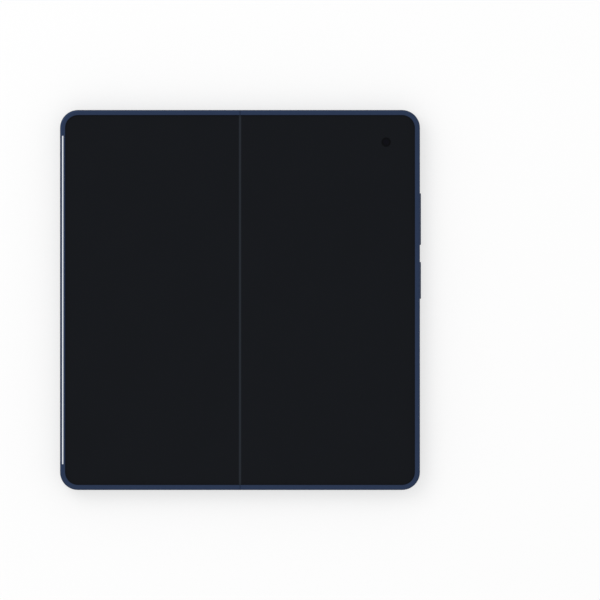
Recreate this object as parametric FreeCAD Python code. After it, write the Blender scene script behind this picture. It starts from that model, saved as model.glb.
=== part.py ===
"""Book-style foldable smartphone, lying open on its back with the inner screen facing up.

Units are millimetres. X runs across the phone, Y along the hinge towards the phone's top edge,
Z up out of the screen. X = 0 and Y = 0 are the middle of the crease, and Z = 0 is the plane that
the rear camera island rests on. The left half (X < 0) carries the cover screen, and the right
half (X > 0) carries the rear cameras. "u" is a distance from the crease outwards on either half.
"""

import FreeCAD, Part
import math
import os

from FreeCAD import Vector

# Driving dimensions of the whole phone
PHONE_WIDTH = 146.8
PHONE_HEIGHT = 155.0
HALF_THICKNESS = 6.2
CORNER_RADIUS = 7.3
RIM_WIDTH = 2.04
RIM_PROUD = 0.6
BACK_EDGE_RADIUS = 1.5
FRONT_EDGE_RADIUS = 0.6
RAIL_WALL = 1.6
ISLAND_PROUD = 2.0
OVERRUN = 1.0
FIT_GAP = 0.05
PART_GAP = 0.3
HINGE_SEAM = 0.08
SEAM_LEAN = 3.0

# Layers of each half, counted from the back
BACK_GLASS = 0.4
HINGE_SKIN = 0.4
MID_PLATE = 0.7
SUPPORT_PLATE = 0.4
DISPLAY = 0.5
LEDGE_WIDTH = 0.5

Z_BACK = ISLAND_PROUD
Z_RIM = Z_BACK + HALF_THICKNESS
Z_SCREEN = Z_RIM - RIM_PROUD
Z_DISPLAY_BOTTOM = Z_SCREEN - DISPLAY
Z_PLATE_BOTTOM = Z_DISPLAY_BOTTOM - SUPPORT_PLATE
Z_MID_BOTTOM = Z_PLATE_BOTTOM - MID_PLATE
Z_GLASS_TOP = Z_BACK + BACK_GLASS
Z_SKIN_TOP = Z_GLASS_TOP + HINGE_SKIN
HALF_WIDTH = PHONE_WIDTH / 2
HALF_HEIGHT = PHONE_HEIGHT / 2
RAIL_INNER_RADIUS = CORNER_RADIUS - RAIL_WALL
RIM_INNER_RADIUS = CORNER_RADIUS - RIM_WIDTH
CAVITY_INSET = RIM_WIDTH + LEDGE_WIDTH
CAVITY_RADIUS = CORNER_RADIUS - CAVITY_INSET
EDGE_WALL_Y = HALF_HEIGHT - CAVITY_INSET

# Fold geometry: each half turns a quarter turn about its own virtual axis just above the screen,
# so that the flexible strip between them bends to a half circle of BEND_RADIUS at its own length
BEND_RADIUS = 1.4
AXIS_U = BEND_RADIUS * math.pi / 4
AXIS_Z = Z_SCREEN + BEND_RADIUS - AXIS_U
STRIP_U = 2 * AXIS_U
FOLD_ANGLE = 90

# Hinge spine between the halves
SPINE_CLEARANCE = 0.15
COVER_WALL = 0.4
RECESS_RADIUS = AXIS_Z - Z_SKIN_TOP
COVER_RADIUS = RECESS_RADIUS - SPINE_CLEARANCE
COVER_BORE = COVER_RADIUS - COVER_WALL
SPINE_END_INSET = RAIL_WALL + PART_GAP
SPINE_END_RADIUS = 1.5
SPINE_END_DROP = 0.45
END_CAP_LENGTH = 4.0
Z_SPINE_TOP = Z_PLATE_BOTTOM - SPINE_CLEARANCE
CREASE_PLATE_GAP = 0.2
CREASE_PLATE_U = STRIP_U - CREASE_PLATE_GAP
CREASE_PLATE = Z_DISPLAY_BOTTOM - FIT_GAP - Z_SPINE_TOP
CREASE_PLATE_HALF = HALF_HEIGHT - RIM_WIDTH - CREASE_PLATE_GAP
SPINE_HALF = HALF_HEIGHT - SPINE_END_INSET
Z_SPINE_END = Z_SPINE_TOP - SPINE_END_DROP

# One hinge module, laid out along Y from its outer wall towards the middle of the phone
MODULE_END_MARGIN = 11.5
MODULE_OUTER_Y = HALF_HEIGHT - MODULE_END_MARGIN
MODULE_WALL = 1.5
CRESCENT_BAY = 6.0
GEAR_BAY = 3.0
FRICTION_BAY = 6.0
MODULE_BAYS = (CRESCENT_BAY, CRESCENT_BAY, GEAR_BAY, FRICTION_BAY)
MODULE_LENGTH = sum(MODULE_BAYS) + MODULE_WALL * (len(MODULE_BAYS) + 1)
GEAR_BAY_INDEX = 2
FRICTION_BAY_INDEX = 3
BAY_GAP = 0.2

# Crescent rails that carry the halves round their virtual axes
CRESCENT_GAP = 0.08
CRESCENT_THICK = 0.97
CRESCENT_OUTER = COVER_BORE - CRESCENT_GAP
CRESCENT_INNER = CRESCENT_OUTER - CRESCENT_THICK
CRESCENT_END_ANGLE = 322
CRESCENT_START_ANGLE = 190
GROOVE_MARGIN = 12
TONGUE_THICK = 0.85
TONGUE_U = 13.5
TONGUE_SCREW_US = (9.0, 11.6)
Z_TONGUE = Z_SPINE_TOP - TONGUE_THICK

# Synchronising gears in the spine, and the arms that tie them to the halves
GEAR_TEETH = 8
HALF_TOOTH = 180 / GEAR_TEETH
GEAR_MODULE = 0.25
GEAR_ADDENDUM = 0.17
GEAR_DEDENDUM = 0.26
TOOTH_SHARE = 0.66
TIP_SHARE = 0.16
GEAR_PITCH_RADIUS = GEAR_TEETH * GEAR_MODULE / 2
GEAR_TIP_RADIUS = GEAR_PITCH_RADIUS + GEAR_ADDENDUM
ARM_GEAR_U = 3 * GEAR_PITCH_RADIUS
IDLER_U = GEAR_PITCH_RADIUS
GEAR_PLACES = (-ARM_GEAR_U, -IDLER_U, IDLER_U, ARM_GEAR_U)
GEAR_Z = Z_SPINE_TOP - GEAR_TIP_RADIUS - FIT_GAP
ARM_SHIFT = (AXIS_U - ARM_GEAR_U, GEAR_Z - AXIS_Z)
ARM_SWING = math.hypot(*ARM_SHIFT)
SHAFT_RADIUS = 0.4
SHAFT_GAP = 0.04
ARM_THICK = 0.75
ARM_START = 0.5
ARM_PIN_RADIUS = 0.35
ARM_PIN_OVERHANG = 0.9
SLOT_GAP = 0.08
ARM_BRACKET_CHEEK = 1.2
ARM_BRACKET_BASE = 0.4
ARM_BRACKET_LEAD = 1.35
ARM_BRACKET_TAIL = 2.5
HINGE_BLOCK_WALL = 1.0
ARM_BRACKET_INNER_U = AXIS_U + RECESS_RADIUS + FIT_GAP
ARM_TRAVEL = -sum(ARM_SHIFT)
ARM_REACH = ARM_BRACKET_INNER_U + ARM_BRACKET_LEAD + ARM_PIN_RADIUS + SLOT_GAP + ARM_TRAVEL
ARM_BRACKET_U = ARM_REACH + ARM_BRACKET_TAIL
HINGE_BLOCK_U = ARM_BRACKET_U + HINGE_BLOCK_WALL
Z_ARM_BOTTOM = GEAR_Z - ARM_THICK / 2
Z_ARM_BRACKET = AXIS_Z - ARM_SWING - ARM_PIN_RADIUS - SLOT_GAP - ARM_BRACKET_BASE

# Spring washers that give the hinge its friction
WASHER_COUNT = 4
WASHER_RADIUS = 0.9
WASHER_THICK = 0.3

# Small screws
SCREW_RADIUS = 0.5
SCREW_HEAD_RADIUS = 0.85
SCREW_HEAD = 0.4
SCREW_LENGTH = 1.9
SCREW_SLOT = 0.22

# Rear camera island, its windows and its camera modules
ISLAND_END_MARGIN = 13.76
LENS_GAP = 0.79
ISLAND_HEIGHT = 23.7
ISLAND_TOP_MARGIN = 6.5
ISLAND_RADIUS = 4.9
ISLAND_EDGE = 0.5
SPIGOT_WALL = 0.5
RING_DEPTH = 0.9
RING_STEP = 0.2
LENS_DEPTH = 0.6
LENS_RADIUS = 5.3
LENS_RING = 0.6
WINDOW_THICK = 0.6
WINDOW_RECESS = 0.1
BARREL_RADIUS = 3.9
BARREL_BORE = 2.6
MODULE_SIDE = 9.4
LENS_DOME = 0.7
ISLAND_MIDDLE_U = HALF_WIDTH / 2
ISLAND_TOP_Y = HALF_HEIGHT - ISLAND_TOP_MARGIN
LENS_Y = ISLAND_TOP_Y - ISLAND_HEIGHT / 2
LENS_INNER_U = HINGE_BLOCK_U + PART_GAP + LENS_GAP + MODULE_SIDE / 2
LENS_US = (LENS_INNER_U, HALF_WIDTH - LENS_INNER_U)
ISLAND_HALF = (LENS_US[1] - LENS_US[0]) / 2 + ISLAND_END_MARGIN

# Inner camera, seen through a hole in the screen
INNER_CAMERA_TOP_MARGIN = 13.1
INNER_CAMERA_RADIUS = 1.92
INNER_CAMERA_SIDE = 6.0
INNER_CAMERA_U = LENS_US[1] + (MODULE_SIDE + INNER_CAMERA_SIDE) / 2 + PART_GAP
INNER_CAMERA_Y = HALF_HEIGHT - INNER_CAMERA_TOP_MARGIN
INNER_CAMERA_LENS = 1.1
INNER_CAMERA_DEPTH = 2.6
INNER_CAMERA_BORE = 0.6

# Pale antenna window let into the rim beside the left edge
ANTENNA_INSET = 0.82
ANTENNA_WIDTH = 0.51
ANTENNA_END_MARGIN = 10.55
ANTENNA_LENGTH = PHONE_HEIGHT - 2 * ANTENNA_END_MARGIN
ANTENNA_DEPTH = 0.5

# Side keys on the right edge
KEY_WIDTH = 2.2
KEY_PROUD = 0.4
KEY_TRAVEL = 0.25
KEY_GAP = 0.12
KEY_FLANGE = 0.5
KEY_FLANGE_SPREAD = 0.3
KEY_EDGE = 0.2
ROCKER_GAP = 0.3
KEY_Z = Z_MID_BOTTOM - KEY_WIDTH / 2 - KEY_FLANGE_SPREAD - FIT_GAP
POWER_KEY_DROP = 69.5
POWER_KEY_Y = HALF_HEIGHT - POWER_KEY_DROP
POWER_KEY_LENGTH = 15.0
VOLUME_KEY_DROP = 44.5
VOLUME_KEY_Y = HALF_HEIGHT - VOLUME_KEY_DROP
VOLUME_KEY_LENGTH = 21.0
SWITCH_DEPTH = 0.9
SWITCH_BOARD = 0.4
SWITCH_X = HALF_WIDTH - CAVITY_INSET - KEY_FLANGE - ROCKER_GAP - KEY_TRAVEL

# Openings in the bottom and top edges
USB_WIDTH = 8.94
USB_HEIGHT = 3.16
USB_DEPTH = 7.0
USB_MOUTH_INSET = 0.6
USB_WALL = 0.3
USB_TONGUE_WIDTH = 6.7
USB_TONGUE_THICK = 0.7
USB_TONGUE_INSET = 1.0
USB_U = 30.0
USB_Z = Z_MID_BOTTOM - USB_HEIGHT / 2 - FIT_GAP
USB_MOUTH_Y = -HALF_HEIGHT + USB_MOUTH_INSET
GRILLE_RADIUS = 0.6
GRILLE_PITCH = 2.0
GRILLE_COUNT = 6
GRILLE_Z = (Z_GLASS_TOP + Z_MID_BOTTOM) / 2
EARPIECE_GAP = 3.7
LOUDSPEAKER_U = 48.0
SPEAKER_LENGTH = 16.0
SPEAKER_DEPTH = 9.0
SPEAKER_RISE = 0.9
SPEAKER_MOUTH = 1.0
EARPIECE_U = HINGE_BLOCK_U + PART_GAP + EARPIECE_GAP + SPEAKER_LENGTH / 2
TRAY_WIDTH = 13.0
TRAY_THICK = 1.2
TRAY_DEPTH = 16.0
TRAY_U = 30.0
TRAY_LIP = 0.8
TRAY_GAP = 0.12
TRAY_PIN_RADIUS = 0.45
TRAY_LIP_SPREAD = 0.5
TRAY_LIP_HEIGHT = 2.0
TRAY_END_WALL = 1.0
TRAY_Z = Z_MID_BOTTOM - TRAY_THICK - PART_GAP
CARD_LENGTH = 12.3
CARD_WIDTH = 8.8
CARD_DEPTH = 0.8
CAGE_WALL = 0.4

# Inner parts
COVER_PANEL = 0.8
COVER_CAMERA_RADIUS = 1.9
COVER_CAMERA_TOP_MARGIN = 9.0
COVER_CAMERA_Y = HALF_HEIGHT - COVER_CAMERA_TOP_MARGIN
COVER_CAMERA_SIDE = 6.0
COVER_CAMERA_GAP = 4.43
COVER_CAMERA_U = EARPIECE_U + (SPEAKER_LENGTH + COVER_CAMERA_SIDE) / 2 + COVER_CAMERA_GAP
BATTERY_SIDE_GAP = 2.7
BATTERY_RADIUS = 1.0
BATTERY_TOP_MARGIN = 44.5
BATTERY_BOTTOM_MARGIN = 25.5
BATTERY_TOP_Y = HALF_HEIGHT - BATTERY_TOP_MARGIN
BATTERY_BOTTOM_Y = BATTERY_BOTTOM_MARGIN - HALF_HEIGHT
LEFT_BATTERY_LOW = Z_GLASS_TOP + COVER_PANEL + PART_GAP
RIGHT_BATTERY_LOW = Z_GLASS_TOP + PART_GAP
BOARD_THICK = 0.7
BOARD_LOW_Y = BATTERY_TOP_Y + PART_GAP
BOARD_INNER_U = HINGE_BLOCK_U + PART_GAP
BOARD_OUTER_U = SWITCH_X - SWITCH_DEPTH - SWITCH_BOARD - PART_GAP
MAIN_BOARD_TOP_Y = LENS_Y - MODULE_SIDE / 2 - PART_GAP
PORT_BOARD_TOP_Y = BATTERY_BOTTOM_Y - PART_GAP
PORT_BOARD_LOW_Y = -EDGE_WALL_Y + SPEAKER_DEPTH + PART_GAP
CAN_HEIGHT = 1.2
CAN_INSET = 3.0
CAN_SPLIT_SHARE = 0.55
MOTOR_RADIUS = 4.0
MOTOR_THICK = 2.2
MAGNET_LENGTH = 10.0
MAGNET_WIDTH = 1.6
MAGNET_THICK = 1.8
MAGNET_BOTTOM_MARGIN = 13.5
MAGNET_TOP_MARGIN = 27.5
MAGNET_YS = (MAGNET_BOTTOM_MARGIN - HALF_HEIGHT, HALF_HEIGHT - MAGNET_TOP_MARGIN)

LEFT = -1
RIGHT = 1
TOP = 1
BOTTOM = -1
ENDS = (TOP, BOTTOM)
ALONG_X = Vector(1, 0, 0)
ALONG_Y = Vector(0, 1, 0)
ALONG_Z = Vector(0, 0, 1)


def block(side, u0, u1, y0, y1, z0, z1):
    """Box between two distances from the crease, on one half of the phone."""
    x0, x1 = sorted((side * u0, side * u1))
    y0, y1 = sorted((y0, y1))
    return Part.makeBox(x1 - x0, y1 - y0, z1 - z0, Vector(x0, y0, z0))


def rod_x(x0, x1, y, z, radius):
    """Round bar along X."""
    x0, x1 = sorted((x0, x1))
    return Part.makeCylinder(radius, x1 - x0, Vector(x0, y, z), ALONG_X)


def rod_y(x, z, radius, y0, y1):
    """Round bar along Y."""
    y0, y1 = sorted((y0, y1))
    return Part.makeCylinder(radius, y1 - y0, Vector(x, y0, z), ALONG_Y)


def rod_z(x, y, radius, z0, z1):
    """Round bar along Z."""
    return Part.makeCylinder(radius, z1 - z0, Vector(x, y, z0), ALONG_Z)


def corner(centre, radius, start):
    """Quarter circle in the XY plane, from one of the four axis directions anticlockwise."""
    angles = [math.radians(start + step) for step in (0, 45, 90)]
    points = [centre + Vector(math.cos(a), math.sin(a), 0) * radius for a in angles]
    return Part.Arc(*points).toShape()


def rounded_plate(x0, x1, y0, y1, z0, z1, left_radius, right_radius):
    """Flat plate whose left and right corners are rounded by their own radii."""
    x0, x1 = sorted((x0, x1))
    y0, y1 = sorted((y0, y1))
    corners = [
        (Vector(x1 - right_radius, y0 + right_radius, z0), right_radius, 270),
        (Vector(x1 - right_radius, y1 - right_radius, z0), right_radius, 0),
        (Vector(x0 + left_radius, y1 - left_radius, z0), left_radius, 90),
        (Vector(x0 + left_radius, y0 + left_radius, z0), left_radius, 180),
    ]
    arcs = [corner(*c) if c[1] > 0 else None for c in corners]
    ends = [
        (a.Vertexes[0].Point, a.Vertexes[-1].Point) if a else (c[0], c[0]) for a, c in zip(arcs, corners)
    ]
    edges = []
    for i, arc in enumerate(arcs):
        if arc:
            edges.append(arc)
        edges.append(Part.makeLine(ends[i][1], ends[(i + 1) % len(ends)][0]))
    return Part.Face(Part.Wire(edges)).extrude(ALONG_Z * (z1 - z0))


def half_plate(side, u0, u1, y_half, z0, z1, outer_radius, hinge_radius=0):
    """Plate on one half: rounded at the outer corners, and square or rounded at the hinge."""
    radii = (outer_radius, hinge_radius) if side == LEFT else (hinge_radius, outer_radius)
    return rounded_plate(side * u0, side * u1, -y_half, y_half, z0, z1, *radii)


def ring_point(centre_x, centre_z, radius, degrees, y):
    """Point of a circle in a plane across the hinge."""
    a = math.radians(degrees)
    return Vector(centre_x + radius * math.cos(a), y, centre_z + radius * math.sin(a))


def arc_edge(centre_x, centre_z, radius, start, end, y):
    """Arc of a circle in a plane across the hinge."""
    middle = (start + end) / 2
    return Part.Arc(*[ring_point(centre_x, centre_z, radius, a, y) for a in (start, middle, end)]).toShape()


def arc_band(centre_x, centre_z, inner, outer, start, end, y0, y1):
    """Band of a ring in the XZ plane between two angles, as long along Y as the bay it works in."""
    y0, y1 = sorted((y0, y1))
    out = arc_edge(centre_x, centre_z, outer, start, end, y0)
    back = arc_edge(centre_x, centre_z, inner, end, start, y0)
    wire = Part.Wire(
        [
            out,
            Part.makeLine(out.Vertexes[-1].Point, back.Vertexes[0].Point),
            back,
            Part.makeLine(back.Vertexes[-1].Point, out.Vertexes[0].Point),
        ]
    )
    return Part.Face(wire).extrude(ALONG_Y * (y1 - y0))


def arc_slot(centre_x, centre_z, radius, half_width, start, end, y0, y1):
    """Curved slot with round ends, for a pin that travels on an arc."""
    band = arc_band(centre_x, centre_z, radius - half_width, radius + half_width, start, end, y0, y1)
    tips = [ring_point(centre_x, centre_z, radius, a, 0) for a in (start, end)]
    return band.fuse([rod_y(tip.x, tip.z, half_width, y0, y1) for tip in tips])


def fused(shapes):
    """One solid out of several, without the seams between them."""
    return shapes[0].fuse(shapes[1:]).removeSplitter() if len(shapes) > 1 else shapes[0]


def outer_edges(solid, z, skip_x):
    """Edges of a slab that lie in the plane z and aren't on its hinge face."""
    chosen = []
    for edge in solid.Edges:
        box = edge.BoundBox
        level = abs(box.ZMin - z) < FIT_GAP and abs(box.ZMax - z) < FIT_GAP
        on_hinge = abs(box.XMin - skip_x) < FIT_GAP and abs(box.XMax - skip_x) < FIT_GAP
        if level and not on_hinge:
            chosen.append(edge)
    return chosen


def bay(end, index):
    """The Y span of one bay of the top or bottom hinge module, lowest first."""
    start = MODULE_WALL * (index + 1) + sum(MODULE_BAYS[:index])
    stop = start + MODULE_BAYS[index]
    return sorted((end * (MODULE_OUTER_Y - start), end * (MODULE_OUTER_Y - stop)))


def crescent_bay(side):
    """The bay of a hinge module that holds this half's crescent rail."""
    return 0 if side == LEFT else 1


def mirrored_angle(side, degrees):
    """An angle about a left-hand axis, or its mirror image on the right half."""
    return degrees if side == LEFT else 180 - degrees


def gear_bay_middle(end):
    """The Y place of a module's gears and arms."""
    return sum(bay(end, GEAR_BAY_INDEX)) / 2


def arm_bracket_span(end):
    """The Y span of an arm bracket, a cheek wider than the gear bay at each side."""
    half = GEAR_BAY / 2 + ARM_BRACKET_CHEEK
    return gear_bay_middle(end) - half, gear_bay_middle(end) + half


def recess(side, y_half):
    """Room for the spine between the end rails: a round trough about the half's own fold axis."""
    trough = rod_y(side * AXIS_U, AXIS_Z, RECESS_RADIUS, -y_half, y_half)
    throat = block(side, -OVERRUN, AXIS_U, -y_half, y_half, Z_SKIN_TOP, Z_PLATE_BOTTOM)
    ceiling = block(side, -OVERRUN, HINGE_BLOCK_U, -y_half, y_half, Z_BACK, Z_PLATE_BOTTOM)
    return trough.common(ceiling).fuse(throat)


def stadium_through(x0, x1, y, z, length, width):
    """Long round-ended hole or key along X, its length along Y."""
    radius = width / 2
    reach = length / 2 - radius
    bar = Part.makeBox(x1 - x0, 2 * reach, width, Vector(x0, y - reach, z - radius))
    return bar.fuse(
        [rod_x(x0, x1, y - reach, z, radius), rod_x(x0, x1, y + reach, z, radius)]
    ).removeSplitter()


def port_through(x, y0, y1, z, length, width):
    """Long round-ended hole or shell along Y, its length along X."""
    radius = width / 2
    reach = length / 2 - radius
    y0, y1 = sorted((y0, y1))
    bar = Part.makeBox(2 * reach, y1 - y0, width, Vector(x - reach, y0, z - radius))
    return bar.fuse(
        [rod_y(x - reach, z, radius, y0, y1), rod_y(x + reach, z, radius, y0, y1)]
    ).removeSplitter()


def speaker_place(side):
    """Where a half's speaker is along the X axis, and which end it sounds through."""
    return (EARPIECE_U, TOP) if side == LEFT else (LOUDSPEAKER_U, BOTTOM)


def grille(side):
    """Row of round sound holes through the wall that the half's speaker sits behind."""
    middle, end = speaker_place(side)
    first = side * (middle - GRILLE_PITCH * (GRILLE_COUNT - 1) / 2)
    y0, y1 = end * (EDGE_WALL_Y - OVERRUN), end * (HALF_HEIGHT + OVERRUN)
    holes = [
        rod_y(first + side * GRILLE_PITCH * i, GRILLE_Z, GRILLE_RADIUS, y0, y1) for i in range(GRILLE_COUNT)
    ]
    return Part.makeCompound(holes)


def beyond_seam(side):
    """All that lies past the hinge face of a half, which leans so that no light shows through the seam."""
    y_end = HALF_HEIGHT + OVERRUN
    cutter = block(side, -HINGE_BLOCK_U, HINGE_SEAM, -y_end, y_end, Z_BACK - OVERRUN, Z_RIM + OVERRUN)
    cutter.rotate(Vector(side * HINGE_SEAM, 0, Z_RIM), ALONG_Y, -SEAM_LEAN)
    return cutter


def frame(side):
    """Machined rail and mid plate of one half, open at the back, with the hinge trough cut into it."""
    body = half_plate(side, -OVERRUN, HALF_WIDTH, HALF_HEIGHT, Z_BACK, Z_RIM, CORNER_RADIUS)
    body = body.makeFillet(BACK_EDGE_RADIUS, outer_edges(body, Z_BACK, -side * OVERRUN))
    body = body.makeFillet(FRONT_EDGE_RADIUS, outer_edges(body, Z_RIM, -side * OVERRUN))
    well = half_plate(
        side,
        -OVERRUN,
        HALF_WIDTH - RAIL_WALL,
        HALF_HEIGHT - RAIL_WALL,
        Z_PLATE_BOTTOM,
        Z_RIM + OVERRUN,
        RAIL_INNER_RADIUS,
    )
    glass_seat = half_plate(
        side,
        RIM_WIDTH,
        HALF_WIDTH - RIM_WIDTH,
        HALF_HEIGHT - RIM_WIDTH,
        Z_BACK - OVERRUN,
        Z_GLASS_TOP,
        RIM_INNER_RADIUS,
        RIM_INNER_RADIUS,
    )
    cavity = half_plate(
        side,
        HINGE_BLOCK_U,
        HALF_WIDTH - CAVITY_INSET,
        EDGE_WALL_Y,
        Z_GLASS_TOP - OVERRUN,
        Z_MID_BOTTOM,
        CAVITY_RADIUS,
        BATTERY_RADIUS,
    )
    cuts = [beyond_seam(side), well, glass_seat, cavity, recess(side, HALF_HEIGHT - RAIL_WALL)]
    cuts += [tongue_room(side, end) for end in ENDS]
    cuts += [arm_bracket_room(side, end) for end in ENDS]
    cuts += [
        rod_z(x, y, SCREW_RADIUS + FIT_GAP, z - SCREW_LENGTH, z) for x, y, z in tongue_screw_places(side)
    ]
    cuts += [rod_z(x, y, SCREW_RADIUS + FIT_GAP, z - SCREW_LENGTH, z) for x, y, z in arm_screw_places(side)]
    cuts.append(grille(side))
    if side == LEFT:
        cuts += [antenna_strip(), tray_slot()]
    else:
        cuts.append(usb_hole())
        cuts.append(key_hole(POWER_KEY_Y, POWER_KEY_LENGTH))
        cuts.append(key_hole(VOLUME_KEY_Y, VOLUME_KEY_LENGTH))
        camera_radius = INNER_CAMERA_RADIUS + FIT_GAP
        cuts.append(rod_z(INNER_CAMERA_U, INNER_CAMERA_Y, camera_radius, Z_MID_BOTTOM - OVERRUN, Z_RIM))
    return body.cut(cuts)


def tongue_room(side, end):
    """Shallow pocket in the frame that a crescent's tongue lies in."""
    y0, y1 = bay(end, crescent_bay(side))
    return block(
        side, AXIS_U + CRESCENT_INNER, TONGUE_U + FIT_GAP, y0, y1, Z_TONGUE, Z_PLATE_BOTTOM + OVERRUN
    )


def arm_bracket_room(side, end):
    """Pocket in the frame that an arm bracket stands in."""
    y0, y1 = arm_bracket_span(end)
    u1 = ARM_BRACKET_U + FIT_GAP
    return block(side, AXIS_U, u1, y0 - FIT_GAP, y1 + FIT_GAP, Z_ARM_BRACKET, Z_PLATE_BOTTOM + OVERRUN)


def tongue_screw_places(side):
    """Centre of each tongue screw's hole, at the level of the tongue's underside."""
    return [
        (side * u, sum(bay(end, crescent_bay(side))) / 2, Z_TONGUE) for end in ENDS for u in TONGUE_SCREW_US
    ]


def arm_screw_places(side):
    """Centre of each arm bracket's screw hole, at the level of the bracket's underside."""
    u = (ARM_REACH + ARM_THICK / 2 + SLOT_GAP + ARM_BRACKET_U) / 2
    return [(side * u, gear_bay_middle(end), Z_ARM_BRACKET) for end in ENDS]


def screw(x, y, seat_z, length):
    """Pan head screw with a cross slot, its head resting on seat_z and its shank going down."""
    head = rod_z(x, y, SCREW_HEAD_RADIUS, seat_z, seat_z + SCREW_HEAD)
    shank = rod_z(x, y, SCREW_RADIUS, seat_z - length, seat_z)
    slots = []
    for long_x, long_y in ((SCREW_RADIUS, SCREW_SLOT / 2), (SCREW_SLOT / 2, SCREW_RADIUS)):
        low = Vector(x - long_x, y - long_y, seat_z + SCREW_HEAD / 2)
        slots.append(Part.makeBox(2 * long_x, 2 * long_y, SCREW_HEAD, low))
    return head.fuse(shank).removeSplitter().cut(slots)


def hinge_tongues(side):
    """Two crescent rails, each with the tongue that is screwed down into the half's frame."""
    tongues = []
    for end in ENDS:
        y0, y1 = bay(end, crescent_bay(side))
        y0, y1 = y0 + BAY_GAP, y1 - BAY_GAP
        start = mirrored_angle(side, CRESCENT_START_ANGLE)
        stop = mirrored_angle(side, CRESCENT_END_ANGLE)
        rail = arc_band(side * AXIS_U, AXIS_Z, CRESCENT_INNER, CRESCENT_OUTER, start, stop, y0, y1)
        rail = rail.cut(block(side, -HALF_WIDTH, HALF_WIDTH, y0, y1, Z_SPINE_TOP, Z_RIM))
        tongue = block(side, AXIS_U + CRESCENT_INNER, TONGUE_U, y0, y1, Z_TONGUE, Z_SPINE_TOP)
        piece = rail.fuse(tongue).removeSplitter()
        for x, y, z in tongue_screw_places(side):
            piece = piece.cut(rod_z(x, y, SCREW_RADIUS + FIT_GAP, z - OVERRUN, Z_RIM))
            piece = piece.cut(rod_z(x, y, SCREW_HEAD_RADIUS + FIT_GAP, Z_SPINE_TOP - SCREW_HEAD, Z_RIM))
        tongues.append(piece)
    return tongues


def arm_brackets(side):
    """Forked bracket in each half whose curved slots guide the pin of the synchronising arm."""
    brackets = []
    for end in ENDS:
        y0, y1 = arm_bracket_span(end)
        middle = gear_bay_middle(end)
        body = block(side, ARM_BRACKET_INNER_U, ARM_BRACKET_U, y0, y1, Z_ARM_BRACKET, Z_SPINE_TOP)
        channel_end = ARM_REACH + ARM_THICK / 2 + SLOT_GAP
        channel = block(
            side, 0, channel_end, middle - GEAR_BAY / 2,
            middle + GEAR_BAY / 2, Z_ARM_BRACKET - OVERRUN, Z_RIM
        )
        angle = math.degrees(math.atan2(ARM_SHIFT[1], ARM_SHIFT[0]))
        slot = arc_slot(
            side * (ARM_REACH + ARM_SHIFT[0]),
            AXIS_Z,
            ARM_SWING,
            ARM_PIN_RADIUS + SLOT_GAP,
            mirrored_angle(side, angle),
            mirrored_angle(side, angle + FOLD_ANGLE),
            y0 - OVERRUN,
            y1 + OVERRUN,
        )
        x, y = side * (channel_end + ARM_BRACKET_U) / 2, middle
        hole = rod_z(x, y, SCREW_RADIUS + FIT_GAP, Z_ARM_BRACKET - OVERRUN, Z_RIM)
        sink = rod_z(x, y, SCREW_HEAD_RADIUS + FIT_GAP, arm_screw_seat(), Z_RIM)
        brackets.append(body.cut([channel, slot, hole, sink]))
    return brackets


def arm_screw_seat():
    """Level of the screw head's seat in an arm bracket."""
    return Z_SPINE_TOP - SCREW_HEAD


def frame_screws(side):
    """Screws that hold the tongues and the arm brackets in the half's frame."""
    tongue = [screw(x, y, Z_SPINE_TOP - SCREW_HEAD, SCREW_LENGTH) for x, y, _ in tongue_screw_places(side)]
    arm_length = arm_screw_seat() - Z_ARM_BRACKET + SCREW_LENGTH / 2
    arm = [screw(x, y, arm_screw_seat(), arm_length) for x, y, _ in arm_screw_places(side)]
    return tongue + arm


def antenna_strip():
    """Narrow plastic window in the front face of the left rail, to let the radio through the metal."""
    u1 = HALF_WIDTH - ANTENNA_INSET
    return block(
        LEFT, u1 - ANTENNA_WIDTH, u1, -ANTENNA_LENGTH / 2, ANTENNA_LENGTH / 2, Z_RIM - ANTENNA_DEPTH, Z_RIM
    )


def bezel(side):
    """Thin strip between the rail and the screen that covers the edge of the display."""
    outer = half_plate(
        side, HINGE_SEAM, HALF_WIDTH - RAIL_WALL,
        HALF_HEIGHT - RAIL_WALL, Z_SCREEN, Z_RIM, RAIL_INNER_RADIUS
    )
    opening = half_plate(
        side,
        -OVERRUN,
        HALF_WIDTH - RIM_WIDTH,
        HALF_HEIGHT - RIM_WIDTH,
        Z_SCREEN - OVERRUN,
        Z_RIM + OVERRUN,
        RIM_INNER_RADIUS,
    )
    return outer.cut(opening)


def screen_layer(side, u0, z0, z1):
    """One flat layer of the screen sandwich, from u0 out to the rail."""
    inset = RAIL_WALL + FIT_GAP
    layer = half_plate(side, u0, HALF_WIDTH - inset, HALF_HEIGHT - inset, z0, z1, CORNER_RADIUS - inset)
    if side == RIGHT:
        layer = layer.cut(
            rod_z(INNER_CAMERA_U, INNER_CAMERA_Y, INNER_CAMERA_RADIUS, z0 - OVERRUN, z1 + OVERRUN)
        )
    return layer


def inner_camera():
    """Camera under the screen: a square module on the mid plate with a barrel up to the display hole."""
    half = INNER_CAMERA_SIDE / 2
    body = block(
        RIGHT,
        INNER_CAMERA_U - half,
        INNER_CAMERA_U + half,
        INNER_CAMERA_Y - half,
        INNER_CAMERA_Y + half,
        Z_MID_BOTTOM - INNER_CAMERA_DEPTH,
        Z_MID_BOTTOM,
    )
    barrel = rod_z(
        INNER_CAMERA_U, INNER_CAMERA_Y, INNER_CAMERA_RADIUS - FIT_GAP, Z_MID_BOTTOM, Z_DISPLAY_BOTTOM
    )
    bore = rod_z(
        INNER_CAMERA_U, INNER_CAMERA_Y, INNER_CAMERA_LENS,
        Z_DISPLAY_BOTTOM - INNER_CAMERA_BORE, Z_DISPLAY_BOTTOM
    )
    return body.fuse(barrel).cut(bore)


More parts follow.
